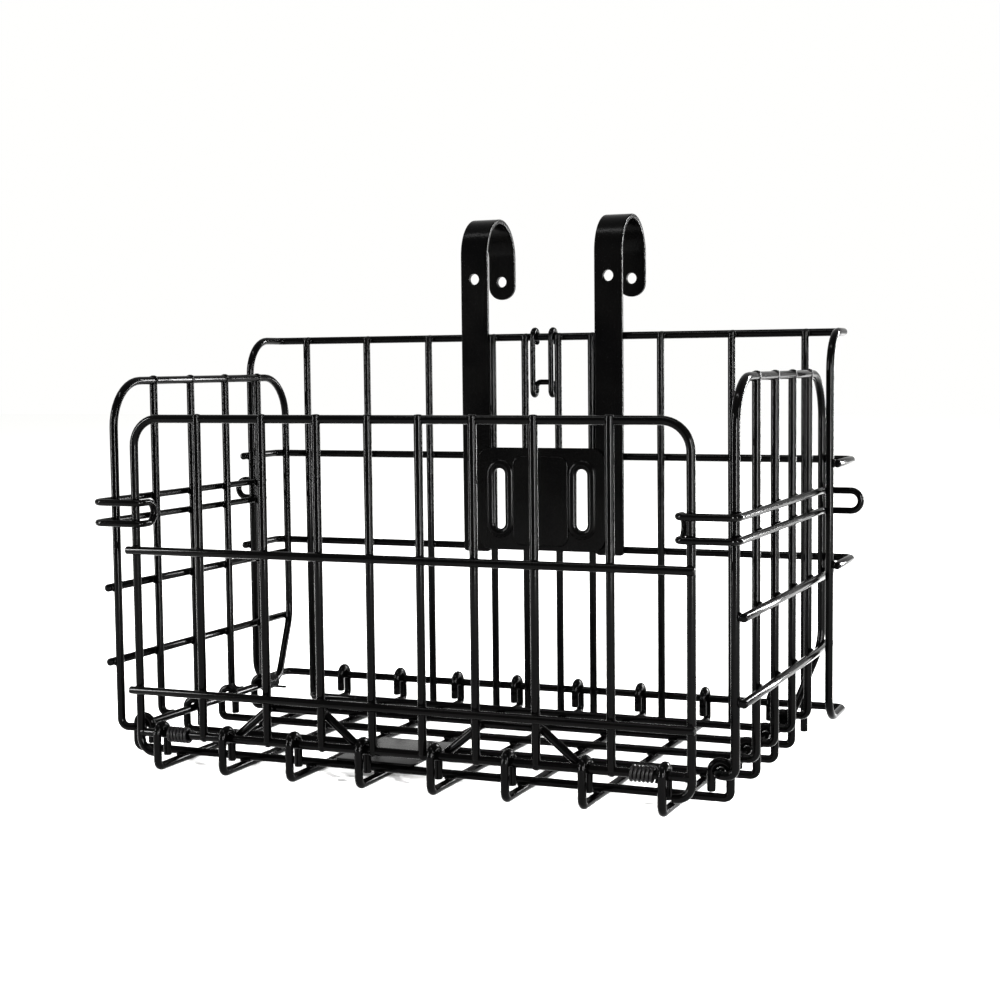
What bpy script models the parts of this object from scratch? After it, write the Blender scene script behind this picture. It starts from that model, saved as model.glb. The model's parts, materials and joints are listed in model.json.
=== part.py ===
"""Folding wire handlebar basket: back panel with hook straps, hinged floor, front and two sides.

X runs across the basket, Y from front to back, Z up. The origin is below its middle, on the ground.
"""

from math import ceil, cos, pi, radians, sin, tan

import bmesh
import bpy
from mathutils import Matrix, Vector

MM = 0.001

# Wire
FRAME_R = 2.3
GRID_R = 2.25
LATCH_R = 1.9
CATCH_R = 1.7
SPRING_R = 0.8
GAP = 0.3
WELD = 0.6
HOOK_R = FRAME_R + GAP + GRID_R  # a floor wire's curl round a hinge rod

# Whole basket
BACK_Y = 89.8
FRONT_Y = -124.2
RAIL_STEP = FRAME_R + GAP + GRID_R  # rails lie on the outside of a frame
UPRIGHT_STEP = RAIL_STEP - 2 * GRID_R + WELD  # and the upright wires behind them
CROSSING = 2 * GRID_R + GAP  # between the centres of two wires of different nodes

# Front panel
FRONT_HALF = 157.8
FRONT_TOP = 193
FRONT_ROD_Z = 20
FRONT_FOOT_Z = 9
FRONT_RAILS = (44, 121.3)
FRONT_UPRIGHTS = (14.4, 44.4, 77.2, 117)
ARCH_CENTRE = 62
ARCH_BASE = 36
ARCH_TOP = 16
ARCH_Z = 38

# Side panels: they stand outside the front, on feet that bend in to a rod
SIDE_X = 177
SIDE_ROD_X = 167.5
SIDE_ROD_Z = 20
SIDE_TOP = 213.3
SIDE_FRONT_Y = FRONT_Y + 9
SIDE_BACK_Y = BACK_Y - 13.5
SIDE_REAR_Z = 56
SIDE_RAILS = (56.4, 98.2)
SIDE_PITCH = 38.7
SIDE_STEP = RAIL_STEP - CROSSING
SIDE_UPRIGHTS = [SIDE_FRONT_Y + 40 + SIDE_PITCH * i for i in range(4)]

# Latch wires
LATCH_Z = (135.7, 147.1)
LATCH_X = SIDE_X + SIDE_STEP + GRID_R + GAP + LATCH_R
LATCH_END_X = 152
LATCH_LOOP_X = 203

# Back panel
BACK_HALF = 187.2
BACK_TOP = 237
BACK_ROD_Z = 16.5
BACK_RAILS = (105.5, 163)
BACK_UPRIGHTS = (11, 32.8, 77, 121, 165)
BACK_FOOT_Z = 1.5
WING = 40
BACK_UPRIGHT_Y = BACK_Y - RAIL_STEP
BACK_RAIL_Y = BACK_UPRIGHT_Y + CROSSING

# Straps, plate and catch
STRAP_X = 44.3
STRAP_W = 18
STRAP_T = 3
STRAP_Y = BACK_UPRIGHT_Y - 0.15
STRAP_FOOT_Z = 102.5
STRAP_TOP = 312
STRAP_TIP_Z = 262
HOOK_BEND = 22.5
FOOT_ROUND = 2
TIP_ROUND = 8
BOLT_R = 3.4
BOLT_Z = 273.5
PLATE_W = 85
PLATE_H = 64
PLATE_T = 1.6
PLATE_Z = 136.5
PLATE_Y = BACK_UPRIGHT_Y - GRID_R - GAP - PLATE_T / 2
SLOT_X = 27.3
SLOT_W = 7.4
SLOT_H = 38
SLOT_RIM = 5.7
RIM_RISE = 1.6
CATCH_X = 6
CATCH_LOW = 201
CATCH_CURL = (6, 8)

# Floor
FLOOR_Z = GRID_R
CROSS_Z = FLOOR_Z + CROSSING
FLOOR_PITCH = 41.2
FLOOR_WIRES = [FLOOR_PITCH * (i + 0.5) for i in range(-4, 4)]
HINGE_CROSS = [FRONT_Y + 17.5] + [y + SIDE_PITCH / 2 for y in SIDE_UPRIGHTS[:3]]
PLAIN_CROSS = [SIDE_UPRIGHTS[3] + SIDE_PITCH / 2]
FRONT_TAIL = 13
REAR_TAIL = 10
SIDE_TAIL = 10.2
FLOOR_BEND = 3.5
PLATE_ON_FLOOR = (-22.0, FRONT_Y + 43.2, 47.0, 57.0, 1.2)

# Springs
COIL_R = FRAME_R + GAP + SPRING_R + 0.2
COIL_TURNS = 6
COIL_STEPS = 8
COIL_PITCH = 2.1
LEG = 9

BLACK = (0.012, 0.012, 0.013)
SPRING_BLACK = (0.03, 0.03, 0.033)


def clear_scene():
    for obj in list(bpy.data.objects):
        bpy.data.objects.remove(obj, do_unlink=True)


def new_collection(name, hidden=False):
    collection = bpy.data.collections.new(name)
    bpy.context.scene.collection.children.link(collection)
    collection.hide_render = hidden
    return collection


def arc_corner(before, corner, after, radius):
    """Points of the arc that rounds one corner of a path."""
    back = (before - corner).normalized()
    ahead = (after - corner).normalized()
    turn = pi - back.angle(ahead)
    if radius <= 0 or turn < 0.01:
        return [corner]
    reach = radius * tan(turn / 2)
    centre = corner + (back + ahead).normalized() * (radius / cos(turn / 2))
    start = corner + back * reach - centre
    normal = back.cross(ahead).normalized()
    steps = max(2, ceil(turn / radians(32)))
    return [centre + Matrix.Rotation(-turn * i / steps, 3, normal) @ start for i in range(steps + 1)]


def rounded(corners, cyclic=False):
    """A path through (x, y, z, radius) corners, each rounded to its radius."""
    places = [Vector(c[:3]) for c in corners]
    path = []
    last = len(corners) - 1
    for i, corner in enumerate(corners):
        if not cyclic and i in (0, last):
            path.append(places[i])
            continue
        path += arc_corner(places[i - 1], places[i], places[(i + 1) % len(places)], corner[3])
    return path


def wire_mesh(path, radius, cyclic=False, sides=2):
    """A closed tube along a path."""
    curve = bpy.data.curves.new("wire", "CURVE")
    curve.dimensions = "3D"
    curve.bevel_depth = radius * MM
    curve.bevel_resolution = sides
    curve.use_fill_caps = True
    spline = curve.splines.new("POLY")
    spline.points.add(len(path) - 1)
    for point, place in zip(spline.points, path):
        point.co = (*(Vector(place) * MM), 1)
    spline.use_cyclic_u = cyclic
    holder = bpy.data.objects.new("wire", curve)
    mesh = bpy.data.meshes.new_from_object(holder)
    bpy.data.objects.remove(holder)
    return mesh


def make_object(name, meshes, collection):
    """One object from several closed meshes, welded at each tube's caps."""
    bm = bmesh.new()
    for mesh in meshes:
        bm.from_mesh(mesh)
    bmesh.ops.remove_doubles(bm, verts=bm.verts, dist=1e-6)
    bmesh.ops.recalc_face_normals(bm, faces=bm.faces)
    mesh = bpy.data.meshes.new(name)
    bm.to_mesh(mesh)
    bm.free()
    obj = bpy.data.objects.new(name, mesh)
    collection.objects.link(obj)
    return obj


def helper(name, meshes):
    obj = make_object(name, meshes, HELPERS)
    obj.hide_render = True
    obj.display_type = "WIRE"
    return obj


def combine(obj, other, operation):
    modifier = obj.modifiers.new(other.name, "BOOLEAN")
    modifier.operation = operation
    modifier.solver = "EXACT"
    modifier.object = other


def welded_grid(name, uprights, rails):
    grid = make_object(name, uprights, PARTS)
    combine(grid, helper(name + "_rails", rails), "UNION")
    return grid


def slab_mesh(centre, size, corner):
    """A box with its four edges along Y rounded."""
    bm = bmesh.new()
    bmesh.ops.create_cube(bm, size=1)
    bmesh.ops.scale(bm, vec=Vector(size) * MM, verts=bm.verts)
    edges = [e for e in bm.edges if abs((e.verts[0].co - e.verts[1].co).normalized().y) > 0.9]
    bmesh.ops.bevel(bm, geom=edges, offset=corner * MM, segments=5, affect="EDGES", profile=0.5)
    bmesh.ops.translate(bm, vec=Vector(centre) * MM, verts=bm.verts)
    mesh = bpy.data.meshes.new("slab")
    bm.to_mesh(mesh)
    bm.free()
    return mesh


def cylinder_mesh(centre, radius, length, sides=16):
    """A cylinder along Y."""
    bm = bmesh.new()
    bmesh.ops.create_cone(
        bm, cap_ends=True, segments=sides, radius1=radius * MM, radius2=radius * MM, depth=length * MM
    )
    bmesh.ops.rotate(bm, matrix=Matrix.Rotation(pi / 2, 3, "X"), verts=bm.verts)
    bmesh.ops.translate(bm, vec=Vector(centre) * MM, verts=bm.verts)
    mesh = bpy.data.meshes.new("cylinder")
    bm.to_mesh(mesh)
    bm.free()
    return mesh


def paint(obj, colour, roughness, metallic):
    material = bpy.data.materials.new(obj.name)
    material.use_nodes = True
    shader = material.node_tree.nodes["Principled BSDF"]
    shader.inputs["Base Color"].default_value = (*colour, 1)
    shader.inputs["Roughness"].default_value = roughness
    shader.inputs["Metallic"].default_value = metallic
    obj.data.materials.clear()
    obj.data.materials.append(material)


def pivot(name, place, parent=None):
    empty = bpy.data.objects.new(name, None)
    empty.location = Vector(place) * MM
    PARTS.objects.link(empty)
    if parent:
        keep_place(empty, parent)
    return empty


def keep_place(child, parent):
    bpy.context.view_layer.update()
    child.parent = parent
    child.matrix_parent_inverse = parent.matrix_world.inverted()


def front_panel():
    out = FRONT_HALF
    foot = out - 10
    frame = [
        (-foot, FRONT_Y, FRONT_FOOT_Z, 0),
        (-out, FRONT_Y, FRONT_FOOT_Z, 8),
        (-out, FRONT_Y, FRONT_TOP, 15),
        (out, FRONT_Y, FRONT_TOP, 15),
        (out, FRONT_Y, FRONT_FOOT_Z, 8),
        (foot, FRONT_Y, FRONT_FOOT_Z, 0),
    ]
    rod = [(-out, FRONT_Y, FRONT_ROD_Z), (out, FRONT_Y, FRONT_ROD_Z)]
    outline = make_object("front_frame", [wire_mesh(rounded(frame), FRAME_R)], PARTS)
    combine(outline, helper("front_rod", [wire_mesh(rod, FRAME_R - 0.05)]), "UNION")
    y = FRONT_Y - UPRIGHT_STEP
    low = FRONT_ROD_Z + FRAME_R + GAP
    high = FRONT_TOP - FRAME_R - GAP
    uprights = [
        wire_mesh([(s * x, y, low), (s * x, y, high)], GRID_R) for x in FRONT_UPRIGHTS for s in (-1, 1)
    ]
    end = out + FRAME_R + 1
    rails = [
        wire_mesh([(-end, FRONT_Y - RAIL_STEP, z), (end, FRONT_Y - RAIL_STEP, z)], GRID_R)
        for z in FRONT_RAILS
    ]
    return [outline, welded_grid("front_grid", uprights, rails)] + [front_arch(s) for s in (-1, 1)]


def front_arch(side):
    y = FRONT_Y - UPRIGHT_STEP + 2 * GRID_R + GAP
    low = FRONT_ROD_Z + FRAME_R + GAP
    corners = [
        (side * (ARCH_CENTRE - ARCH_BASE), y, low, 0),
        (side * (ARCH_CENTRE - ARCH_TOP), y, ARCH_Z, 7),
        (side * (ARCH_CENTRE + ARCH_TOP), y, ARCH_Z, 7),
        (side * (ARCH_CENTRE + ARCH_BASE), y, low, 0),
    ]
    return make_object(side_name(side) + "_front_arch", [wire_mesh(rounded(corners), GRID_R)], PARTS)


def side_name(side):
    return "left" if side < 0 else "right"


def side_panel(side):
    plane, rod = side * SIDE_X, side * SIDE_ROD_X
    frame = [
        (rod, SIDE_FRONT_Y, SIDE_ROD_Z, 4.2),
        (plane, SIDE_FRONT_Y, SIDE_ROD_Z, 4.5),
        (plane, SIDE_FRONT_Y, SIDE_TOP, 26),
        (plane, SIDE_BACK_Y, SIDE_TOP, 26),
        (plane, SIDE_BACK_Y, SIDE_REAR_Z, 22),
        (rod, SIDE_BACK_Y - 32, SIDE_ROD_Z, 18),
    ]
    name = side_name(side) + "_side"
    made = [make_object(name + "_frame", [wire_mesh(rounded(frame, True), FRAME_R, True)], PARTS)]
    shift = side * SIDE_STEP
    toe = side * (FRAME_R + GAP)
    for i, y in enumerate(SIDE_UPRIGHTS):
        corners = [
            (rod + toe, y, SIDE_ROD_Z, 0),
            (plane + shift, y, SIDE_ROD_Z, 4.2),
            (plane + shift, y, SIDE_TOP - FRAME_R - GAP, 0),
        ]
        made.append(make_object(f"{name}_upright_{i + 1}", [wire_mesh(rounded(corners), GRID_R)], PARTS))
    x = side * (SIDE_X + RAIL_STEP)
    first, last = SIDE_FRONT_Y - FRAME_R - 1, SIDE_BACK_Y + FRAME_R + 1
    for level, z in zip(("lower", "upper"), SIDE_RAILS):
        path = [(x, first, z), (x, last, z)]
        made.append(make_object(f"{name}_{level}_rail", [wire_mesh(path, GRID_R)], PARTS))
    return made + [latch_wire(side)]


def latch_wire(side):
    """A closed spring wire: its front end hooks round the front panel, its rear end behind a wing."""
    low, high = LATCH_Z
    x, end, loop = side * LATCH_X, side * LATCH_END_X, side * LATCH_LOOP_X
    front = FRONT_Y - FRAME_R - GAP - LATCH_R
    behind = BACK_Y - WING + 9
    leg = [(end, FRONT_Y + 9, 5.6), (end, front, 3.5), (x, front, 5), (x, behind, 6), (loop, behind, 5.6)]
    corners = [(px, py, high, r) for px, py, r in leg] + [(px, py, low, r) for px, py, r in reversed(leg)]
    path = rounded(corners, True)
    return make_object(side_name(side) + "_latch_wire", [wire_mesh(path, LATCH_R, True)], PARTS)


def back_panel():
    out, wing = BACK_HALF, BACK_Y - WING
    frame = [
        (out, wing, BACK_ROD_Z, 14),
        (out, wing, BACK_TOP, 22),
        (out, BACK_Y, BACK_TOP, 5),
        (-out, BACK_Y, BACK_TOP, 5),
        (-out, wing, BACK_TOP, 22),
        (-out, wing, BACK_ROD_Z, 14),
        (-out, BACK_Y, BACK_ROD_Z, 5),
        (out, BACK_Y, BACK_ROD_Z, 5),
    ]
    made = [make_object("back_frame", [wire_mesh(rounded(frame, True), FRAME_R, True)], PARTS)]
    y = BACK_UPRIGHT_Y
    for i, x in enumerate(sorted(s * x for x in BACK_UPRIGHTS for s in (-1, 1))):
        path = [(x, y, BACK_FOOT_Z), (x, y, BACK_TOP + 1)]
        made.append(make_object(f"back_upright_{i + 1}", [wire_mesh(path, GRID_R)], PARTS))
    x, end = out + RAIL_STEP, wing - FRAME_R - 1
    for name, z in zip(("lower", "upper"), BACK_RAILS):
        corners = [(x, end, z, 0), (x, BACK_RAIL_Y, z, 5), (-x, BACK_RAIL_Y, z, 5), (-x, end, z, 0)]
        made.append(make_object(name + "_back_rail", [wire_mesh(rounded(corners), GRID_R)], PARTS))
    return made


def strap(side):
    """A flat bar that curls back over the handlebar, with a bolt hole through both faces."""
    top = STRAP_TOP - STRAP_T / 2 - HOOK_BEND
    centre_y = STRAP_Y + HOOK_BEND
    turns = [pi * (1 - i / 12) for i in range(13)]
    curl = [(centre_y + HOOK_BEND * cos(t), top + HOOK_BEND * sin(t), (cos(t), sin(t))) for t in turns]
    line = [(STRAP_Y, STRAP_FOOT_Z, (-1, 0)), *curl, (STRAP_Y + 2 * HOOK_BEND, STRAP_TIP_Z, (1, 0))]
    half = STRAP_T / 2
    outer = [(y + n[0] * half, z + n[1] * half) for y, z, n in line]
    inner = [(y - n[0] * half, z - n[1] * half) for y, z, n in line]
    left = side * STRAP_X - STRAP_W / 2
    bm = bmesh.new()
    rim = [bm.verts.new(Vector((left, y, z)) * MM) for y, z in outer + inner[::-1]]
    face = bm.faces.new(rim)
    made = bmesh.ops.extrude_face_region(bm, geom=[face])["geom"]
    moved = [v for v in made if isinstance(v, bmesh.types.BMVert)]
    bmesh.ops.translate(bm, vec=(STRAP_W * MM, 0, 0), verts=moved)
    round_tips(bm)
    bmesh.ops.recalc_face_normals(bm, faces=bm.faces)
    mesh = bpy.data.meshes.new("strap")
    bm.to_mesh(mesh)
    bm.free()
    obj = make_object(side_name(side) + "_handlebar_strap", [mesh], PARTS)
    hole = cylinder_mesh((side * STRAP_X, centre_y, BOLT_Z), BOLT_R, 60)
    combine(obj, helper(obj.name + "_hole", [hole]), "DIFFERENCE")
    return obj


def round_tips(bm):
    """Rounds the corners at the strap's two ends."""
    for end_z, radius, steps in ((STRAP_TIP_Z, TIP_ROUND, 5), (STRAP_FOOT_Z, FOOT_ROUND, 2)):
        ends = []
        for edge in bm.edges:
            a, b = edge.verts[0].co / MM, edge.verts[1].co / MM
            if abs(a.z - end_z) < 0.01 and abs(a.z - b.z) < 0.01 and abs(a.x - b.x) < 0.01:
                ends.append(edge)
        bmesh.ops.bevel(bm, geom=ends, offset=radius * MM, segments=steps, affect="EDGES", profile=0.5)


def mounting_plate():
    """A pressed plate with two long slots, raised rims round them and a raised middle."""
    size = (PLATE_W, PLATE_T, PLATE_H)
    plate = make_object("mounting_plate", [slab_mesh((0, PLATE_Y, PLATE_Z), size, 9)], PARTS)
    rise_y = PLATE_Y - RIM_RISE / 2
    rim = (SLOT_W + 2 * SLOT_RIM, PLATE_T + RIM_RISE - 0.4, SLOT_H + 2 * SLOT_RIM)
    raised = [slab_mesh((s * SLOT_X, rise_y, PLATE_Z), rim, rim[0] / 2 - 0.1) for s in (-1, 1)]
    raised.append(slab_mesh((0, PLATE_Y - 0.35, PLATE_Z), (33, PLATE_T + 0.1, 54), 4))
    combine(plate, helper("plate_rims", raised), "UNION")
    slot = (SLOT_W, 20, SLOT_H)
    slots = [slab_mesh((s * SLOT_X, PLATE_Y, PLATE_Z), slot, SLOT_W / 2 - 0.1) for s in (-1, 1)]
    combine(plate, helper("plate_slots", slots), "DIFFERENCE")
    return plate


def folding_catch():
    """A wire bail that hangs by two eyes from the back panel's top rail."""
    radius = FRAME_R + GAP + CATCH_R
    turns = [radians(-60 + 30 * i) for i in range(9)]
    eye = [(BACK_Y + radius * cos(t), BACK_TOP + radius * sin(t)) for t in turns if t <= pi + 0.01]
    y, (depth, rise) = BACK_Y - radius, CATCH_CURL
    leg = [(y, CATCH_LOW, 3), (y + depth, CATCH_LOW, 3), (y + depth, CATCH_LOW + rise, 3)]
    left = [(-CATCH_X, y, z, 0) for y, z in eye] + [(-CATCH_X, *corner) for corner in leg]
    path = rounded(left + [(-x, y, z, r) for x, y, z, r in reversed(left)])
    return make_object("folding_catch", [wire_mesh(path, CATCH_R)], PARTS)


def hook_end(away, height, rod, rod_z, tail):
    """A floor wire's end as (outward distance, height) points: up past the rod, over it and down."""
    turns = [pi * i / 6 for i in range(7)]
    rise = [(away, height, 0), (rod + HOOK_R, height, FLOOR_BEND)]
    over = [(rod + HOOK_R * cos(t), rod_z + HOOK_R * sin(t), 0) for t in turns]
    return rise + over + [(rod - HOOK_R, rod_z - tail, 0)]


def floor_panel():
    front = hook_end(-FRONT_Y - 30, FLOOR_Z, -FRONT_Y, FRONT_ROD_Z, FRONT_TAIL)
    rear = hook_end(BACK_Y - 30, FLOOR_Z, BACK_Y, BACK_ROD_Z, REAR_TAIL)
    made = []
    for i, x in enumerate(FLOOR_WIRES):
        corners = [(x, -out, z, r) for out, z, r in reversed(front)] + [(x, out, z, r) for out, z, r in rear]
        made.append(make_object(f"floor_wire_{i + 1}", [wire_mesh(rounded(corners), GRID_R)], PARTS))
    side = hook_end(SIDE_ROD_X - 30, CROSS_Z, SIDE_ROD_X, SIDE_ROD_Z, SIDE_TAIL)
    cross_wires = []
    for y in HINGE_CROSS:
        corners = [(-out, y, z, r) for out, z, r in reversed(side)] + [(out, y, z, r) for out, z, r in side]
        cross_wires.append(rounded(corners))
    for y in PLAIN_CROSS:
        cross_wires.append([(-152, y, CROSS_Z), (152, y, CROSS_Z)])
    for i, path in enumerate(cross_wires):
        made.append(make_object(f"floor_cross_wire_{i + 1}", [wire_mesh(path, GRID_R)], PARTS))
    x, y, width, depth, thick = PLATE_ON_FLOOR
    z = CROSS_Z + GRID_R + GAP + thick / 2
    bm = bmesh.new()
    bmesh.ops.create_cube(bm, size=1)
    bmesh.ops.scale(bm, vec=Vector((width, depth, thick)) * MM, verts=bm.verts)
    bmesh.ops.translate(bm, vec=Vector((x, y, z)) * MM, verts=bm.verts)
    mesh = bpy.data.meshes.new("floor_plate")
    bm.to_mesh(mesh)
    bm.free()
    return made + [make_object("floor_plate", [mesh], PARTS)]


def spring_path(start, along, up, inward):
    """A coil round a rod, with one leg up the panel and one in over the floor."""
    count = COIL_TURNS * COIL_STEPS
    path = []
    for i in range(count + 1):
        turn = 2 * pi * i / COIL_STEPS - pi / 2
        offset = inward * (COIL_R * cos(turn)) + up * (COIL_R * sin(turn))
        path.append(start + along * (COIL_PITCH * i / COIL_STEPS) + offset)
    first, last = path[0], path[-1]
    quarter = [
        last + inward * (COIL_R * sin(t)) + up * (COIL_R - COIL_R * cos(t)) + along * (0.2 * t)
        for t in (pi / 4, pi / 2)
    ]
    return [first + inward * LEG] + path + quarter + [quarter[-1] + up * LEG]


def springs():
    up, made = Vector((0, 0, 1)), []
    for side in (-1, 1):
        start = Vector((side * 139.8, FRONT_Y, FRONT_ROD_Z))
        path = spring_path(start, Vector((-side, 0, 0)), up, Vector((0, 1, 0)))
        name = side_name(side) + "_front_spring"
        made.append(make_object(name, [wire_mesh(path, SPRING_R, sides=1)], PARTS))
    for side in (-1, 1):
        start = Vector((side * SIDE_ROD_X, SIDE_UPRIGHTS[3] - 3.2, SIDE_ROD_Z))
        path = spring_path(start, Vector((0, -1, 0)), up, Vector((-side, 0, 0)))
        name = side_name(side) + "_side_spring"
        made.append(make_object(name, [wire_mesh(path, SPRING_R, sides=1)], PARTS))
    return made


def main():
    back = back_panel() + [strap(-1), strap(1), mounting_plate()]
    catch = folding_catch()
    floor = floor_panel()
    front = front_panel()
    sides = {side: side_panel(side) for side in (-1, 1)}
    coils = springs()
    floor_pivot = pivot("floor_fold_axis", (0, BACK_Y, BACK_ROD_Z))
    front_pivot = pivot("front_fold_axis", (0, FRONT_Y, FRONT_ROD_Z), floor_pivot)
    catch_pivot = pivot("catch_swing_axis", (0, BACK_Y, BACK_TOP))
    keep_place(catch, catch_pivot)
    for obj in floor + coils:
        keep_place(obj, floor_pivot)
    for obj in front:
        keep_place(obj, front_pivot)
    for side, panel in sides.items():
        axis = pivot(side_name(side) + "_side_fold_axis", (side * SIDE_ROD_X, 0, SIDE_ROD_Z), floor_pivot)
        for obj in panel:
            keep_place(obj, axis)
    for obj in back + floor + front + sides[-1] + sides[1] + [catch]:
        paint(obj, BLACK, 0.3, 0.0)
    for obj in coils:
        paint(obj, SPRING_BLACK, 0.35, 0.6)


clear_scene()
PARTS = new_collection("parts")
HELPERS = new_collection("helpers", hidden=True)
main()
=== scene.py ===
"""Looks of the folding wire handlebar basket: smooth coated wire, welds, pressed plate, straps and springs.

Sizes are millimetres in the frame's own axes, but metres for the camera and the lamps. The panels' outlines
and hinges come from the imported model. Wire radii, spacings, bends and other small sizes are stated here.
"""

import json
from math import ceil, cos, pi, radians, sin, sqrt, tan

import bmesh
import bpy
from mathutils import Matrix, Vector


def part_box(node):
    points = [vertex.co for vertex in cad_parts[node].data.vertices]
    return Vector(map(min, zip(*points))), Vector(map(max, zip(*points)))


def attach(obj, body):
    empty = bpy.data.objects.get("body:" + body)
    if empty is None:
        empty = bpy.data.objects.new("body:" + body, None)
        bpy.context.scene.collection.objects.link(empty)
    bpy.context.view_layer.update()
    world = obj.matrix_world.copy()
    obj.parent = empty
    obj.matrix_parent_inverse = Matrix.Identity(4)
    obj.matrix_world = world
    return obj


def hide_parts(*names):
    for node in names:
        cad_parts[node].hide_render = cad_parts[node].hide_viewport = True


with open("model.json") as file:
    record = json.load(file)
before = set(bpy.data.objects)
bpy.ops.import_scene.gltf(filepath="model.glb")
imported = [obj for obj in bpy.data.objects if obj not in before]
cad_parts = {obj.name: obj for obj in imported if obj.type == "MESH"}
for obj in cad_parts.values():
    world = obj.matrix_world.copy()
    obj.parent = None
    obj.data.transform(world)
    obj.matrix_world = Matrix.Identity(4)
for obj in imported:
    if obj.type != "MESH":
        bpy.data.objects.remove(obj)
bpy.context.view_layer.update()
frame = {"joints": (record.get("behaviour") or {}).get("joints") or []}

MM = 0.001
SIDES = 16  # points round a wire's section
ARC_STEP = radians(9)  # the turn between two points of a bend

# Wire radii
FRAME_R = 2.3
GRID_R = 2.25
LATCH_R = 1.9
CATCH_R = 1.7
SPRING_R = 0.8

# Steps between the centres of crossing wires, and wire ends
GAP = 0.3  # between two nodes
WELD = 0.6  # how deep the front grid's uprights and rails run into each other
RAIL_STEP = FRAME_R + GAP + GRID_R
HOOK_R = RAIL_STEP  # a hook's centre line round a rod
UPRIGHT_STEP = RAIL_STEP - 2 * GRID_R + WELD
CROSSING = 2 * GRID_R + GAP
END_ROUND = 0.7
OVERHANG = 1  # how far a rail's end stands past the frame wire
POKE = 1.6 + OVERHANG  # from the frame wire's centre to the end of an upright
BACK_POKE = 1.5  # the same on the back panel

# Half sizes of the weld beads, the last one square to both wires
CROSS_BEAD = (2.5, 2.5, 1.15)
LATCH_BEAD = (2.3, 2.3, 1.1)
STRAP_BEAD = (4, 3, 1.6)
FRONT_EDGE_BEAD = (2.9, 2.9, 2.0)
FRONT_ROD_BEAD = (2.6, 2.6, 2.5)
SIDE_EDGE_BEAD = (3.1, 3.1, 2.7)
SIDE_ROD_BEAD = (2.6, 2.6, 2.4)


def box_mm(node):
    low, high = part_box(node)
    return Vector(low) / MM, Vector(high) / MM


def joint_place(name):
    joint = next(j for j in frame["joints"] if j["name"] == name)
    return Vector(joint["pos_m"]) / MM


FRONT_LOW, FRONT_HIGH = box_mm("front_frame")
SIDE_LOW, SIDE_HIGH = box_mm("right_side_frame")
BACK_LOW, BACK_HIGH = box_mm("back_frame")
STRAP_LOW, STRAP_HIGH = box_mm("right_handlebar_strap")
PLATE_LOW, PLATE_HIGH = box_mm("mounting_plate")
TAG_LOW, TAG_HIGH = box_mm("floor_plate")
LATCH_LOW, LATCH_HIGH = box_mm("right_latch_wire")
CATCH_LOW_CORNER, CATCH_HIGH_CORNER = box_mm("folding_catch")

FRONT_Y = (FRONT_LOW.y + FRONT_HIGH.y) / 2
FRONT_HALF = FRONT_HIGH.x - FRAME_R
FRONT_TOP = FRONT_HIGH.z - FRAME_R
FRONT_FOOT_Z = FRONT_LOW.z + FRAME_R
FRONT_ROD_Z = joint_place("front_fold").z
FRONT_RAILS = (44, 121.3)
FRONT_UPRIGHTS = (14.4, 44.4, 77.2, 117)
FRONT_FOOT_IN = 10
FRONT_FOOT_BEND = 8
FRONT_TOP_BEND = 15
ARCH_FOOT = 36  # half an arch's width at its foot
ARCH_CREST = 16  # and at its crest
ARCH_BEND = 7

SIDE_X = SIDE_HIGH.x - FRAME_R
SIDE_TOP = SIDE_HIGH.z - FRAME_R
SIDE_FRONT_Y = SIDE_LOW.y + FRAME_R
SIDE_BACK_Y = SIDE_HIGH.y - FRAME_R
SIDE_ROD_X = joint_place("right_side_fold").x
SIDE_ROD_Z = joint_place("right_side_fold").z
SIDE_REAR_Z = 56
SIDE_SLANT = 32  # how far the rear edge runs forward below SIDE_REAR_Z
SIDE_TOP_BEND = 26
SIDE_STEP = RAIL_STEP - CROSSING
SIDE_RAILS = (56.4, 98.2)
SIDE_PITCH = 38.7
SIDE_UPRIGHTS = [SIDE_FRONT_Y + 40 + SIDE_PITCH * i for i in range(4)]

LATCH_Z = (LATCH_LOW.z + LATCH_R, LATCH_HIGH.z - LATCH_R)
LATCH_X = SIDE_X + SIDE_STEP + GRID_R + GAP + LATCH_R
LATCH_END_X = LATCH_LOW.x + LATCH_R
LATCH_LOOP_X = LATCH_HIGH.x - LATCH_R
LATCH_FRONT_Y = LATCH_LOW.y + LATCH_R
LATCH_BACK_Y = LATCH_HIGH.y - LATCH_R
LATCH_LIP = 9  # how far the latch's end reaches back inside the front panel

BACK_Y = BACK_HIGH.y - FRAME_R
BACK_HALF = BACK_HIGH.x - FRAME_R
BACK_TOP = BACK_HIGH.z - FRAME_R
BACK_ROD_Z = BACK_LOW.z + FRAME_R
WING_Y = BACK_LOW.y + FRAME_R
BACK_RAILS = (105.5, 163)
BACK_UPRIGHTS = (11, 32.8, 77, 121, 165)
BACK_FOOT_Z = 1.5
BACK_UPRIGHT_Y = BACK_Y - RAIL_STEP
BACK_RAIL_Y = BACK_UPRIGHT_Y + CROSSING

FLOOR_Z = GRID_R
CROSS_Z = FLOOR_Z + CROSSING
FLOOR_BEND = 3.5
HOOK_RUN = 30  # from a wire's last plain point to the rod that it hooks
PLAIN_CROSS_HALF = 152
FRONT_TAIL = 13
REAR_TAIL = 10
SIDE_TAIL = 10.2
FLOOR_PITCH = 41.2
FLOOR_WIRES = [FLOOR_PITCH * (i + 0.5) for i in range(-4, 4)]
HINGE_CROSS = [FRONT_Y + 17.5] + [y + SIDE_PITCH / 2 for y in SIDE_UPRIGHTS[:3]]
PLAIN_CROSS = [SIDE_UPRIGHTS[3] + SIDE_PITCH / 2]

TAG_CORNER = 3
TAG_EDGE = 0.35

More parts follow.
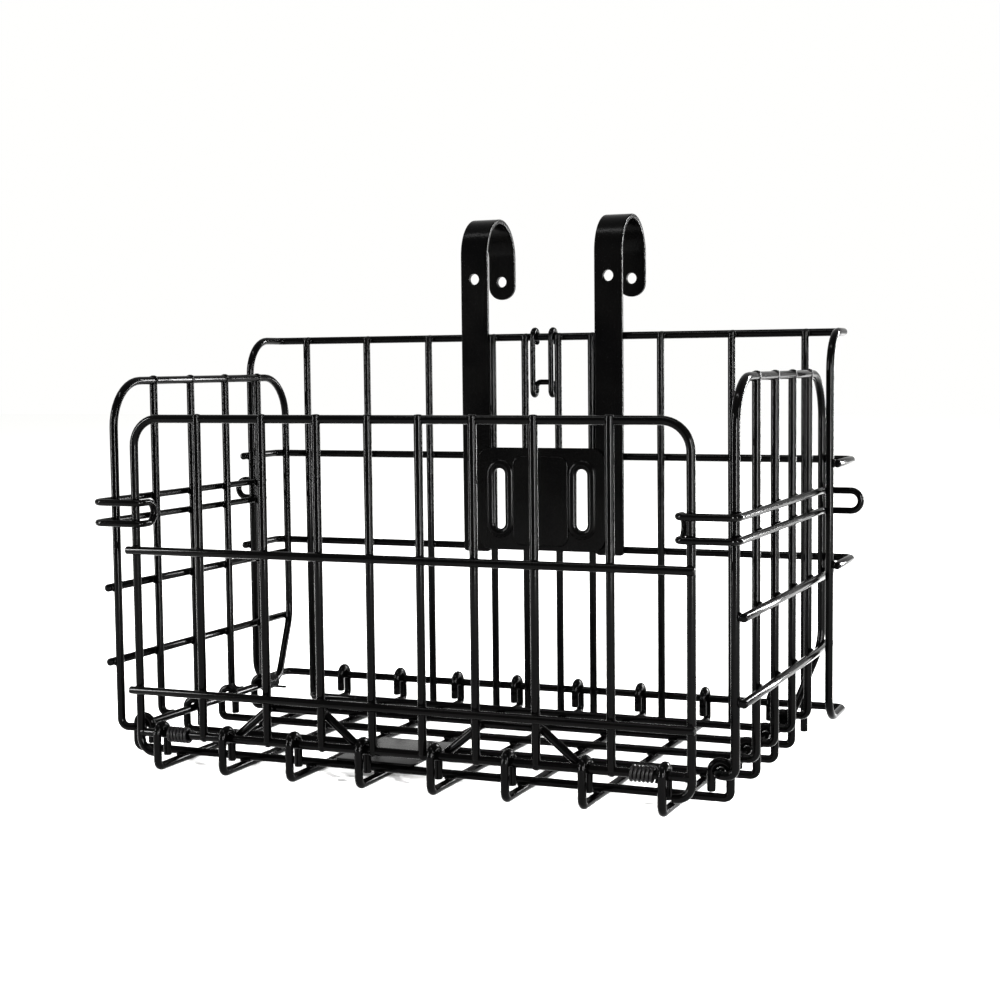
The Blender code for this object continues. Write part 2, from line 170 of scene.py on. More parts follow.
STRAP_X = (STRAP_LOW.x + STRAP_HIGH.x) / 2
STRAP_T = 3
STRAP_EDGE = 0.7
STRAP_FOOT_R = 2
STRAP_TIP_R = 8.6
STRAP_TIP_Z = 262
STRAP_CURL_Z = 280
BOLT_Z = 273.5
BOLT_R = 3.4

PLATE_T = 1.6
PLATE_CORNER = 9
PLATE_EDGE = 0.5
SLOT_X = 27.3
SLOT_W = 7.4
SLOT_H = 38
SLOT_RIM = 5.7
RIM_START = 0.15  # from the slot's edge to the rim
RIM_SINK = 0.6  # how deep the rim's foot is sunk in the plate
FIELD_W = 37
FIELD_RISE = 0.9
FIELD_MARGIN = 8  # left free above and below the field together
FIELD_DROP = 1.2
FIELD_CORNER = 6

COIL_R = FRAME_R + GAP + SPRING_R + 0.2
COIL_TURNS = 6
COIL_LENGTH = 12.6
SPRING_LEG = 9
SPRING_TIP = 2.5
FRONT_SPRING_X = 139.8
SIDE_SPRING_STEP = 3.2

# The camera: metres and degrees
LENS = 63.05  # focal length on a 36 mm sensor
CAMERA_PLACE = (0.3958, -0.9292, 0.2213)
YAW, PITCH, ROLL = 22.72, 4.48, -0.61

X_AXIS, Y_AXIS, Z_AXIS = Vector((1, 0, 0)), Vector((0, 1, 0)), Vector((0, 0, 1))


# ---------------------------------------------------------------- paths and tubes


def arc_corner(before, corner, after, radius):
    back = (before - corner).normalized()
    ahead = (after - corner).normalized()
    turn = pi - back.angle(ahead)
    if radius <= 0 or turn < 0.01:
        return [corner]
    centre = corner + (back + ahead).normalized() * (radius / cos(turn / 2))
    start = corner + back * (radius * tan(turn / 2)) - centre
    normal = back.cross(ahead).normalized()
    steps = max(2, ceil(turn / ARC_STEP))
    return [centre + Matrix.Rotation(-turn * i / steps, 3, normal) @ start for i in range(steps + 1)]


def rounded(corners, cyclic=False):
    """A path through (x, y, z, radius) corners, each rounded to its radius."""
    places = [Vector(c[:3]) for c in corners]
    path = []
    last = len(corners) - 1
    for i, corner in enumerate(corners):
        if not cyclic and i in (0, last):
            path.append(places[i])
        else:
            path += arc_corner(places[i - 1], places[i], places[(i + 1) % len(places)], corner[3])
    return path


def round_ends(path, radius):
    """(path, radii) with both ends eased over, as a sheared and coated wire end is."""
    steps = [radians(a) for a in (0, 30, 60, 90)]
    reach = [END_ROUND * (1 - sin(a)) for a in steps]
    width = [radius - END_ROUND * (1 - cos(a)) for a in steps]
    head = (path[1] - path[0]).normalized()
    tail = (path[-2] - path[-1]).normalized()
    first = [path[0] + head * d for d in reversed(reach)]
    last = [path[-1] + tail * d for d in reach]
    return first + path[1:-1] + last, width[::-1] + [radius] * (len(path) - 2) + width


def skin(count, sides, closed):
    """Faces between rings of points, capped at both ends unless the last ring meets the first."""
    faces = []
    for i in range(count if closed else count - 1):
        low, high = i * sides, ((i + 1) % count) * sides
        for k in range(sides):
            n = (k + 1) % sides
            faces.append((low + k, low + n, high + n, high + k))
    if not closed:
        faces.append(tuple(reversed(range(sides))))
        faces.append(tuple(range((count - 1) * sides, count * sides)))
    return faces


def tube(path, radius, cyclic=False, sides=SIDES):
    """(vertices, faces) of a wire along a path, its section carried along without twist."""
    path = [Vector(p) for p in path]
    radii = [radius] * len(path)
    if not cyclic:
        path, radii = round_ends(path, radius)
    count = len(path)
    tangents = []
    for i in range(count):
        before = path[i - 1] if cyclic or i else path[0]
        after = path[(i + 1) % count] if cyclic or i < count - 1 else path[-1]
        tangents.append((after - before).normalized())
    normal = tangents[0].orthogonal().normalized()
    normals = [normal]
    for i in range(1, count):
        turn = tangents[i - 1].rotation_difference(tangents[i])
        normals.append((turn @ normals[-1]).normalized())
    slip = 0.0
    if cyclic:
        back = tangents[-1].rotation_difference(tangents[0]) @ normals[-1]
        slip = back.angle(normals[0]) * (1 if back.cross(normals[0]).dot(tangents[0]) > 0 else -1)
    vertices = []
    for i in range(count):
        side = tangents[i].cross(normals[i])
        for k in range(sides):
            angle = 2 * pi * k / sides + slip * i / count
            vertices.append(path[i] + (normals[i] * cos(angle) + side * sin(angle)) * radii[i])
    return vertices, skin(count, sides, cyclic)


def bead(place, along, across, size=CROSS_BEAD):
    """(vertices, faces) of the flattened swelling where two crossing wires are welded."""
    along, across = along.normalized(), across.normalized()
    out = along.cross(across).normalized()
    basis = ((along + across).normalized(), (along - across).normalized(), out)
    rings, sides = 7, 12
    vertices = []
    for i in range(1, rings):
        lat = pi * i / rings - pi / 2
        for k in range(sides):
            lon = 2 * pi * k / sides
            unit = (cos(lat) * cos(lon), cos(lat) * sin(lon), sin(lat))
            vertices.append(place + sum((b * u * s for b, u, s in zip(basis, unit, size)), Vector()))
    return vertices, skin(rings - 1, sides, False)


def piece(name, shapes, material, body, replaced=()):
    """One shown mesh from several (vertices, faces), riding on a body."""
    vertices, faces = [], []
    for some, made in shapes:
        start = len(vertices)
        vertices += [tuple(Vector(v) * MM) for v in some]
        faces += [tuple(start + i for i in face) for face in made]
    mesh = bpy.data.meshes.new(name)
    mesh.from_pydata(vertices, [], faces)
    return finish_piece(name, mesh, material, body, replaced)


def recalculate(mesh):
    """Turns a closed mesh's faces outward."""
    bm = bmesh.new()
    bm.from_mesh(mesh)
    bmesh.ops.recalc_face_normals(bm, faces=bm.faces)
    bm.to_mesh(mesh)
    bm.free()


def finish_piece(name, mesh, material, body, replaced=()):
    """A smooth object of the mesh, riding on a body and, where a node is named, standing for it."""
    recalculate(mesh)
    mesh.shade_smooth()
    obj = bpy.data.objects.new(name, mesh)
    bpy.context.scene.collection.objects.link(obj)
    obj.data.materials.append(material)
    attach(obj, body)
    if replaced:
        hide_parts(replaced)
    return obj


# ---------------------------------------------------------------- materials


def link(tree, source, target):
    tree.links.new(source, target)


def noise(tree, scale, detail, coordinates, roughness=0.55):
    node = tree.nodes.new("ShaderNodeTexNoise")
    node.inputs["Scale"].default_value = scale
    node.inputs["Detail"].default_value = detail
    node.inputs["Roughness"].default_value = roughness
    link(tree, coordinates, node.inputs["Vector"])
    return node.outputs["Fac"]


def ramp(tree, value, stops):
    node = tree.nodes.new("ShaderNodeValToRGB")
    elements = node.color_ramp.elements
    while len(elements) < len(stops):
        elements.new(0.5)
    for element, (place, colour) in zip(elements, stops):
        element.position = place
        element.color = (*colour, 1) if isinstance(colour, tuple) else (colour, colour, colour, 1)
    link(tree, value, node.inputs["Fac"])
    return node.outputs["Color"]


def coated_metal(name, dark, light, gloss, shine, peel):
    """Black powder coat: cloudy tint and gloss, fine pale specks, orange peel and a finer grain."""
    material = bpy.data.materials.new(name)
    material.use_nodes = True
    tree = material.node_tree
    shader = tree.nodes["Principled BSDF"]
    where = tree.nodes.new("ShaderNodeTexCoord").outputs["Object"]
    cloud = noise(tree, 38, 4, where)
    grain = noise(tree, 1500, 2, where)
    pits = noise(tree, 420, 3, where)
    dust = noise(tree, 900, 2, where, 0.7)
    tint = ramp(tree, cloud, [(0.3, dark), (0.75, light)])
    specks = ramp(tree, dust, [(0.74, 0.0), (0.84, 1.0)])
    mix = tree.nodes.new("ShaderNodeMix")
    mix.data_type = "RGBA"
    link(tree, specks, mix.inputs["Factor"])
    link(tree, tint, mix.inputs["A"])
    mix.inputs["B"].default_value = (0.006, 0.0058, 0.0055, 1)
    link(tree, mix.outputs["Result"], shader.inputs["Base Color"])
    link(tree, ramp(tree, cloud, [(0.25, gloss[0]), (0.8, gloss[1])]), shader.inputs["Roughness"])
    peel_bump = tree.nodes.new("ShaderNodeBump")
    peel_bump.inputs["Strength"].default_value = peel
    peel_bump.inputs["Distance"].default_value = 0.0004
    link(tree, pits, peel_bump.inputs["Height"])
    fine_bump = tree.nodes.new("ShaderNodeBump")
    fine_bump.inputs["Strength"].default_value = peel * 0.6
    fine_bump.inputs["Distance"].default_value = 0.0001
    link(tree, grain, fine_bump.inputs["Height"])
    link(tree, peel_bump.outputs["Normal"], fine_bump.inputs["Normal"])
    link(tree, fine_bump.outputs["Normal"], shader.inputs["Normal"])
    shader.inputs["Specular IOR Level"].default_value = shine
    return material


def plain_stage(name, colour):
    material = bpy.data.materials.new(name)
    material.use_nodes = True
    shader = material.node_tree.nodes["Principled BSDF"]
    shader.inputs["Base Color"].default_value = (*colour, 1)
    shader.inputs["Roughness"].default_value = 0.9
    shader.inputs["Specular IOR Level"].default_value = 0.0
    return material


NEAR_BLACK = ((0.00008, 0.00008, 0.0001), (0.0003, 0.00028, 0.00026))
WIRE_COAT = coated_metal("wire_coat", *NEAR_BLACK, (0.07, 0.14), 0.022, 0.05)
STRAP_COAT = coated_metal("strap_coat", *NEAR_BLACK, (0.18, 0.27), 0.018, 0.2)
PLATE_COAT = coated_metal("plate_coat", *NEAR_BLACK, (0.13, 0.22), 0.022, 0.1)
SPRING_BLACK = ((0.001, 0.001, 0.0012), (0.003, 0.0027, 0.0025))
SPRING_FINISH = coated_metal("spring_black", *SPRING_BLACK, (0.18, 0.3), 0.045, 0.08)


# ---------------------------------------------------------------- panels


def front_panel():
    """The frame with its hinge rod, the grid of uprights and rails, and both arches."""
    out, foot = FRONT_HALF, FRONT_HALF - FRONT_FOOT_IN
    frame_path = [
        (-foot, FRONT_Y, FRONT_FOOT_Z, 0),
        (-out, FRONT_Y, FRONT_FOOT_Z, FRONT_FOOT_BEND),
        (-out, FRONT_Y, FRONT_TOP, FRONT_TOP_BEND),
        (out, FRONT_Y, FRONT_TOP, FRONT_TOP_BEND),
        (out, FRONT_Y, FRONT_FOOT_Z, FRONT_FOOT_BEND),
        (foot, FRONT_Y, FRONT_FOOT_Z, 0),
    ]
    rod = [(-out, FRONT_Y, FRONT_ROD_Z), (out, FRONT_Y, FRONT_ROD_Z)]
    shapes = [tube(rounded(frame_path), FRAME_R), tube(rod, FRAME_R)]
    for side in (-1, 1):
        place = Vector((side * (out - FRAME_R), FRONT_Y, FRONT_ROD_Z))
        shapes.append(bead(place, X_AXIS, Z_AXIS, FRONT_ROD_BEAD))
    piece("front_frame_wire", shapes, WIRE_COAT, "front", "front_frame")
    y, rail_y = FRONT_Y - UPRIGHT_STEP, FRONT_Y - RAIL_STEP
    end = out + FRAME_R + OVERHANG
    shapes = []
    for x in [s * u for u in FRONT_UPRIGHTS for s in (-1, 1)]:
        shapes.append(tube([(x, y, FRONT_ROD_Z), (x, y, FRONT_TOP + POKE)], GRID_R))
        for z in FRONT_RAILS:
            shapes.append(bead(Vector((x, (y + rail_y) / 2, z)), Z_AXIS, X_AXIS))
        for z in (FRONT_ROD_Z, FRONT_TOP):
            shapes.append(bead(Vector((x, FRONT_Y - 0.6, z)), Z_AXIS, X_AXIS, FRONT_EDGE_BEAD))
    for z in FRONT_RAILS:
        shapes.append(tube([(-end, rail_y, z), (end, rail_y, z)], GRID_R))
        for side in (-1, 1):
            place = Vector((side * out, FRONT_Y - FRAME_R - 0.1, z))
            shapes.append(bead(place, Z_AXIS, X_AXIS))
    piece("front_grid_wire", shapes, WIRE_COAT, "front", "front_grid")
    for side in (-1, 1):
        front_arch(side)


def front_arch(side):
    low, high = box_mm(side_name(side) + "_front_arch")
    y = (low.y + high.y) / 2
    centre = (low.x + high.x) / 2
    top = high.z - GRID_R
    foot_z = FRONT_ROD_Z + 1.5
    corners = [
        (centre - ARCH_FOOT, y, foot_z, 0),
        (centre - ARCH_CREST, y, top, ARCH_BEND),
        (centre + ARCH_CREST, y, top, ARCH_BEND),
        (centre + ARCH_FOOT, y, foot_z, 0),
    ]
    shapes = [tube(rounded(corners), GRID_R)]
    for x in FRONT_UPRIGHTS[1:3]:
        shapes.append(bead(Vector((side * x, y - GRID_R, top)), Z_AXIS, X_AXIS))
    piece(side_name(side) + "_arch_wire", shapes, WIRE_COAT, "front", side_name(side) + "_front_arch")


def side_name(side):
    return "left" if side < 0 else "right"


def side_panel(side):
    """One closed frame wire, its uprights bent inward to the hinge rod, its rails and its latch wire."""
    plane, rod = side * SIDE_X, side * SIDE_ROD_X
    frame_path = [
        (rod, SIDE_FRONT_Y, SIDE_ROD_Z, 4.2),
        (plane, SIDE_FRONT_Y, SIDE_ROD_Z, 4.5),
        (plane, SIDE_FRONT_Y, SIDE_TOP, SIDE_TOP_BEND),
        (plane, SIDE_BACK_Y, SIDE_TOP, SIDE_TOP_BEND),
        (plane, SIDE_BACK_Y, SIDE_REAR_Z, 22),
        (rod, SIDE_BACK_Y - SIDE_SLANT, SIDE_ROD_Z, 18),
    ]
    name = side_name(side) + "_side"
    shapes = [tube(rounded(frame_path, True), FRAME_R, True)]
    piece(name + "_frame_wire", shapes, WIRE_COAT, name, name + "_frame")
    upright_x, rail_x = side * (SIDE_X + SIDE_STEP), side * (SIDE_X + RAIL_STEP)
    for i, y in enumerate(SIDE_UPRIGHTS):
        corners = [
            (rod + side * 1.0, y, SIDE_ROD_Z, 0),
            (upright_x, y, SIDE_ROD_Z, 4.2),
            (upright_x, y, SIDE_TOP + POKE, 0),
        ]
        shapes = [tube(rounded(corners), GRID_R)]
        shapes.append(bead(Vector((plane, y, SIDE_TOP)), Z_AXIS, Y_AXIS, SIDE_EDGE_BEAD))
        shapes.append(bead(Vector((rod + side * 2.2, y, SIDE_ROD_Z)), X_AXIS, Z_AXIS, SIDE_ROD_BEAD))
        node = f"{name}_upright_{i + 1}"
        piece(node + "_wire", shapes, WIRE_COAT, name, node)
    first = SIDE_FRONT_Y - FRAME_R - OVERHANG
    last = SIDE_BACK_Y + FRAME_R + OVERHANG
    for level, z in zip(("lower", "upper"), SIDE_RAILS):
        shapes = [tube([(rail_x, first, z), (rail_x, last, z)], GRID_R)]
        for y in [SIDE_FRONT_Y] + SIDE_UPRIGHTS + [SIDE_BACK_Y]:
            shapes.append(bead(Vector(((upright_x + rail_x) / 2, y, z)), Z_AXIS, Y_AXIS))
        node = f"{name}_{level}_rail"
        piece(node + "_wire", shapes, WIRE_COAT, name, node)
    latch_wire(side, name)


def latch_wire(side, body):
    """A closed hairpin along the side panel. One end wraps the front panel's edge, the other stands out."""
    low, high = LATCH_Z
    x, end, loop = side * LATCH_X, side * LATCH_END_X, side * LATCH_LOOP_X
    leg = [
        (end, FRONT_Y + LATCH_LIP, 5.6),
        (end, LATCH_FRONT_Y, 3.5),
        (x, LATCH_FRONT_Y, 5),
        (x, LATCH_BACK_Y, 6),
        (loop, LATCH_BACK_Y, 5.6),
    ]
    corners = [(px, py, high, r) for px, py, r in leg]
    corners += [(px, py, low, r) for px, py, r in reversed(leg)]
    shapes = [tube(rounded(corners, True), LATCH_R, True)]
    for y in [SIDE_FRONT_Y] + SIDE_UPRIGHTS:
        for z in LATCH_Z:
            place = Vector((side * (LATCH_X - LATCH_R - 0.15), y, z))
            shapes.append(bead(place, Z_AXIS, Y_AXIS, LATCH_BEAD))
    name = side_name(side) + "_latch_spring_wire"
    piece(name, shapes, WIRE_COAT, body, side_name(side) + "_latch_wire")


def back_panel():
    """One closed frame wire with its sides bent forward as wings, the uprights, and rails round the wings."""
    out, wing = BACK_HALF, WING_Y
    frame_path = [
        (out, wing, BACK_ROD_Z, 14),
        (out, wing, BACK_TOP, 22),
        (out, BACK_Y, BACK_TOP, 5),
        (-out, BACK_Y, BACK_TOP, 5),
        (-out, wing, BACK_TOP, 22),
        (-out, wing, BACK_ROD_Z, 14),
        (-out, BACK_Y, BACK_ROD_Z, 5),
        (out, BACK_Y, BACK_ROD_Z, 5),
    ]
    shapes = [tube(rounded(frame_path, True), FRAME_R, True)]
    piece("back_frame_wire", shapes, WIRE_COAT, "back", "back_frame")
    middle = (BACK_UPRIGHT_Y + BACK_RAIL_Y) / 2
    uprights = sorted(s * x for x in BACK_UPRIGHTS for s in (-1, 1))
    for i, x in enumerate(uprights):
        path = [(x, BACK_UPRIGHT_Y, BACK_FOOT_Z), (x, BACK_UPRIGHT_Y, BACK_TOP + BACK_POKE)]
        shapes = [tube(path, GRID_R)]
        for z in (BACK_ROD_Z, BACK_TOP):
            shapes.append(bead(Vector((x, BACK_Y - FRAME_R - 0.15, z)), Z_AXIS, X_AXIS))
        node = f"back_upright_{i + 1}"
        piece(node + "_wire", shapes, WIRE_COAT, "back", node)
    rail_x, end = out + RAIL_STEP, wing - FRAME_R - OVERHANG
    for level, z in zip(("lower", "upper"), BACK_RAILS):
        corners = [
            (rail_x, end, z, 0),
            (rail_x, BACK_RAIL_Y, z, 5),
            (-rail_x, BACK_RAIL_Y, z, 5),
            (-rail_x, end, z, 0),
        ]
        shapes = [tube(rounded(corners), GRID_R)]
        shapes += [bead(Vector((x, middle, z)), Z_AXIS, X_AXIS) for x in uprights]
        for side in (-1, 1):
            shapes.append(bead(Vector((side * (out + FRAME_R + 0.1), wing, z)), Z_AXIS, Y_AXIS))
            place = Vector((side * STRAP_X, BACK_RAIL_Y - GRID_R, z))
            shapes.append(bead(place, Z_AXIS, X_AXIS, STRAP_BEAD))
        node = level + "_back_rail"
        piece(node + "_wire", shapes, WIRE_COAT, "back", node)


def hook_end(away, height, rod, rod_z, tail):
    """(outward, z, radius) corners of a wire's end: it rises, turns over a rod and ends in a tail."""
    turns = [pi * i / 16 for i in range(17)]
    rise = [(away, height, 0), (rod + HOOK_R, height, FLOOR_BEND)]
    over = [(rod + HOOK_R * cos(t), rod_z + HOOK_R * sin(t), 0) for t in turns]
    return rise + over + [(rod - HOOK_R, rod_z - tail, 0)]


def floor_panel():
    """The wires from front to back, the cross wires on top of them, and the blank plate."""
    front = hook_end(-FRONT_Y - HOOK_RUN, FLOOR_Z, -FRONT_Y, FRONT_ROD_Z, FRONT_TAIL)
    rear = hook_end(BACK_Y - HOOK_RUN, FLOOR_Z, BACK_Y, BACK_ROD_Z, REAR_TAIL)
    side = hook_end(SIDE_ROD_X - HOOK_RUN, CROSS_Z, SIDE_ROD_X, SIDE_ROD_Z, SIDE_TAIL)
    for i, x in enumerate(FLOOR_WIRES):
        corners = [(x, -out, z, r) for out, z, r in reversed(front)]
        corners += [(x, out, z, r) for out, z, r in rear]
        node = f"floor_wire_{i + 1}"
        piece(node + "_hooked", [tube(rounded(corners), GRID_R)], WIRE_COAT, "floor", node)
    middle = (FLOOR_Z + CROSS_Z) / 2
    for i, y in enumerate(HINGE_CROSS + PLAIN_CROSS):
        if y in HINGE_CROSS:
            corners = [(-out, y, z, r) for out, z, r in reversed(side)]
            corners += [(out, y, z, r) for out, z, r in side]
            path = rounded(corners)
        else:
            path = [(-PLAIN_CROSS_HALF, y, CROSS_Z), (PLAIN_CROSS_HALF, y, CROSS_Z)]
        shapes = [tube(path, GRID_R)]
        shapes += [bead(Vector((x, y, middle)), X_AXIS, Y_AXIS) for x in FLOOR_WIRES]
        node = f"floor_cross_wire_{i + 1}"
        piece(node + "_hooked", shapes, WIRE_COAT, "floor", node)
    floor_tag()


def floor_tag():
    """A small blank plate with rounded corners and softened edges."""
    mesh = plate_mesh((TAG_LOW + TAG_HIGH) / 2, TAG_HIGH - TAG_LOW, TAG_CORNER, TAG_EDGE, "Z")
    finish_piece("floor_blank_plate", mesh, PLATE_COAT, "floor", "floor_plate")


# ---------------------------------------------------------------- flat parts


def plate_mesh(centre, size, corner, edge, thin):
    """A box with its corners rounded in the plane across axis thin, and every edge softened."""
    axis = "XYZ".index(thin)
    bm = bmesh.new()
    bmesh.ops.create_cube(bm, size=1)
    bmesh.ops.scale(bm, vec=Vector(size) * MM, verts=bm.verts)
    uprights = [e for e in bm.edges if abs((e.verts[0].co - e.verts[1].co).normalized()[axis]) > 0.9]
    bmesh.ops.bevel(bm, geom=uprights, offset=corner * MM, segments=10, affect="EDGES", profile=0.5)
    rims = [e for e in bm.edges if abs((e.verts[0].co - e.verts[1].co).normalized()[axis]) < 0.1]
    rims = [e for e in rims if len({round(abs(f.normal[axis])) for f in e.link_faces}) > 1]
    if edge:
        bmesh.ops.bevel(bm, geom=rims, offset=edge * MM, segments=5, affect="EDGES", profile=0.5)
    bmesh.ops.translate(bm, vec=Vector(centre) * MM, verts=bm.verts)
    mesh = bpy.data.meshes.new("plate")
    bm.to_mesh(mesh)
    bm.free()
    return mesh


def stadium(x, z, half_w, half_h, y, steps=14):
    """A closed path round a slot."""
    straight = half_h - half_w
    path = []
    for way in (1, -1):
        for i in range(steps + 1):
            turn = pi * i / steps if way > 0 else pi + pi * i / steps
            path.append(Vector((x + half_w * cos(turn), y, z + way * straight + half_w * sin(turn))))
    return path


def cut(obj, tools):
    """Applies Boolean cuts, then removes the tools."""
    for tool in tools:
        modifier = obj.modifiers.new("cut", "BOOLEAN")
        modifier.operation = "DIFFERENCE"
        modifier.solver = "EXACT"
        modifier.object = tool
    bpy.context.view_layer.update()
    graph = bpy.context.evaluated_depsgraph_get()
    mesh = bpy.data.meshes.new_from_object(obj.evaluated_get(graph))
    obj.modifiers.clear()
    obj.data = mesh
    for tool in tools:
        bpy.data.objects.remove(tool)


def tool(mesh):
    obj = bpy.data.objects.new("tool", mesh)
    bpy.context.scene.collection.objects.link(obj)
    return obj


def mounting_plate():
    """The pressed plate with two slots, a swelling along each slot and a raised field in the middle."""
    front, back = PLATE_LOW.y, PLATE_HIGH.y
    middle_z = (PLATE_LOW.z + PLATE_HIGH.z) / 2
    width, height = PLATE_HIGH.x - PLATE_LOW.x, PLATE_HIGH.z - PLATE_LOW.z
    centre_y = back - PLATE_T / 2
    centre = (0, centre_y, middle_z)
    base = tool(plate_mesh(centre, (width, PLATE_T, height), PLATE_CORNER, PLATE_EDGE, "Y"))
    slots = []
    for s in (-1, 1):
        centre = (s * SLOT_X, centre_y, middle_z)
        slots.append(tool(plate_mesh(centre, (SLOT_W, 20, SLOT_H), SLOT_W / 2 - 0.05, 0, "Y")))
    cut(base, slots)
    mesh = base.data.copy()
    bpy.data.objects.remove(base)
    sharpen(finish_piece("pressed_mounting_plate", mesh, PLATE_COAT, "back", "mounting_plate"))
    face, rise = back - PLATE_T, back - PLATE_T - front
    shapes = []
    for s in (-1, 1):
        edge = stadium(s * SLOT_X, middle_z, SLOT_W / 2, SLOT_H / 2, face)
        shapes.append(pressed_rim(edge, rise))
    piece("plate_slot_rims", shapes, PLATE_COAT, "back")
    centre = (0, face + PLATE_T / 2 - FIELD_RISE, middle_z - FIELD_DROP)
    field = plate_mesh(centre, (FIELD_W, PLATE_T, height - FIELD_MARGIN), FIELD_CORNER, FIELD_RISE, "Y")
    pressed = finish_piece("plate_pressed_field", field, PLATE_COAT, "back")
    sharpen(pressed)


def pressed_rim(edge, rise):
    """(vertices, faces) of the round-backed swelling along a slot's edge."""
    steps = 16
    section = [(RIM_START, -RIM_SINK)]
    for i in range(steps + 1):
        share = i / steps
        section.append((RIM_START + (SLOT_RIM - RIM_START) * share, rise * max(sin(pi * share), 0) ** 0.75))
    section.append((SLOT_RIM, -RIM_SINK))
    count = len(edge)
    vertices = []
    for i in range(count):
        along = (edge[(i + 1) % count] - edge[i - 1]).normalized()
        outward = Y_AXIS.cross(along).normalized()
        vertices += [edge[i] + outward * out - Y_AXIS * height for out, height in section]
    return vertices, skin(count, len(section), True)


def sharpen(obj, angle=35):
    """Keeps flat faces flat under smooth shading."""
    mesh = obj.data
    bm = bmesh.new()
    bm.from_mesh(mesh)
    for edge in bm.edges:
        if len(edge.link_faces) == 2 and edge.calc_face_angle(0) > radians(angle):
            edge.smooth = False
    bm.to_mesh(mesh)
    bm.free()
    modifier = obj.modifiers.new("weighted", "WEIGHTED_NORMAL")
    modifier.keep_sharp = True


def strap_line():
    """(place, outward, half width) of the strap's sections, from its foot up and over to its tip."""
    half = STRAP_T / 2
    bend = (STRAP_HIGH.y - STRAP_LOW.y - STRAP_T) / 2
    near_y = STRAP_LOW.y + half
    far_y = near_y + 2 * bend
    curl_z = STRAP_HIGH.z - half - bend
    width = STRAP_HIGH.x - STRAP_LOW.x
    line = []
    for h in tip_steps(STRAP_FOOT_R):
        line.append((Vector((0, near_y, STRAP_LOW.z + h)), -Y_AXIS, tip_width(h, width, STRAP_FOOT_R)))
    for z in (140, 180, 220, STRAP_TIP_Z, STRAP_CURL_Z):
        line.append((Vector((0, near_y, z)), -Y_AXIS, width / 2))
    for i in range(29):
        turn = pi * (1 - i / 28)
        outward = Vector((0, cos(turn), sin(turn)))
        place = Vector((0, near_y + bend + bend * cos(turn), curl_z + bend * sin(turn)))
        line.append((place, outward, width / 2))
    line.append((Vector((0, far_y, STRAP_CURL_Z)), Y_AXIS, width / 2))
    for h in reversed(tip_steps(STRAP_TIP_R)):
        line.append((Vector((0, far_y, STRAP_TIP_Z + h)), Y_AXIS, tip_width(h, width, STRAP_TIP_R)))
    return line


def strap(side):
    """A flat bar with softened edges, curled back over the handlebar, with rounded tips and bolt holes."""
    x = side * STRAP_X
    profile = []
    for cx, cn, first in ((1, 1, 0), (-1, 1, 1), (-1, -1, 2), (1, -1, 3)):
        for i in range(4):
            angle = pi / 2 * (first + i / 3)
            profile.append((cx, cn, cos(angle) * STRAP_EDGE, sin(angle) * STRAP_EDGE))
    line = strap_line()
    vertices = []
    for place, normal, half_w in line:
        for cx, cn, ex, en in profile:
            across = cx * (half_w - STRAP_EDGE) + ex
            outward = cn * (STRAP_T / 2 - STRAP_EDGE) + en
            vertices.append(place + Vector((x + across, 0, 0)) + normal * outward)
    mesh = bpy.data.meshes.new("strap")
    mesh.from_pydata([tuple(v * MM) for v in vertices], [], skin(len(line), len(profile), False))
    recalculate(mesh)
    bar = tool(mesh)
    cut(bar, [tool(bolt_cutter(x, (STRAP_LOW.y + STRAP_HIGH.y) / 2))])
    mesh = bar.data.copy()
    bpy.data.objects.remove(bar)
    name = side_name(side) + "_hook_strap"
    sharpen(finish_piece(name, mesh, STRAP_COAT, "back", side_name(side) + "_handlebar_strap"), 30)


def tip_steps(radius):
    """Heights above a rounded end, closer together near the end."""
    return [radius * (1 - cos(pi / 2 * i / 8)) for i in range(9)]


def tip_width(height, width, radius):
    """Half the strap's width at a height above an end with rounded corners."""
    left = radius - height
    return width / 2 - radius + sqrt(max(radius**2 - left**2, 0.04))


def bolt_cutter(x, y):
    """A cylinder along Y through both holes of a strap."""
    radius = BOLT_R * MM
    bm = bmesh.new()
    bmesh.ops.create_cone(bm, cap_ends=True, segments=40, radius1=radius, radius2=radius, depth=60 * MM)
    bmesh.ops.rotate(bm, matrix=Matrix.Rotation(pi / 2, 3, "X"), verts=bm.verts)
    bmesh.ops.translate(bm, vec=Vector((x, y, BOLT_Z)) * MM, verts=bm.verts)
    mesh = bpy.data.meshes.new("bolt")
    bm.to_mesh(mesh)
    bm.free()
    return mesh


# ---------------------------------------------------------------- catch and springs


def folding_catch():
    """A hairpin with an eye at the top of each leg, its link curled back and up."""
    radius = FRAME_R + GAP + CATCH_R
    reach = CATCH_HIGH_CORNER.x - CATCH_R
    low = CATCH_LOW_CORNER.z + CATCH_R
    turns = [radians(-60 + 10 * i) for i in range(25)]
    eye = [(BACK_Y + radius * cos(t), BACK_TOP + radius * sin(t)) for t in turns]
    y, depth, rise = BACK_Y - radius, 6, 8
    leg = [(y, low, 3), (y + depth, low, 3), (y + depth, low + rise, 3)]
    left = [(-reach, ey, ez, 0) for ey, ez in eye] + [(-reach, *corner) for corner in leg]
    path = rounded(left + [(-px, py, pz, r) for px, py, pz, r in reversed(left)])
    piece("folding_catch_wire", [tube(path, CATCH_R)], WIRE_COAT, "catch", "folding_catch")


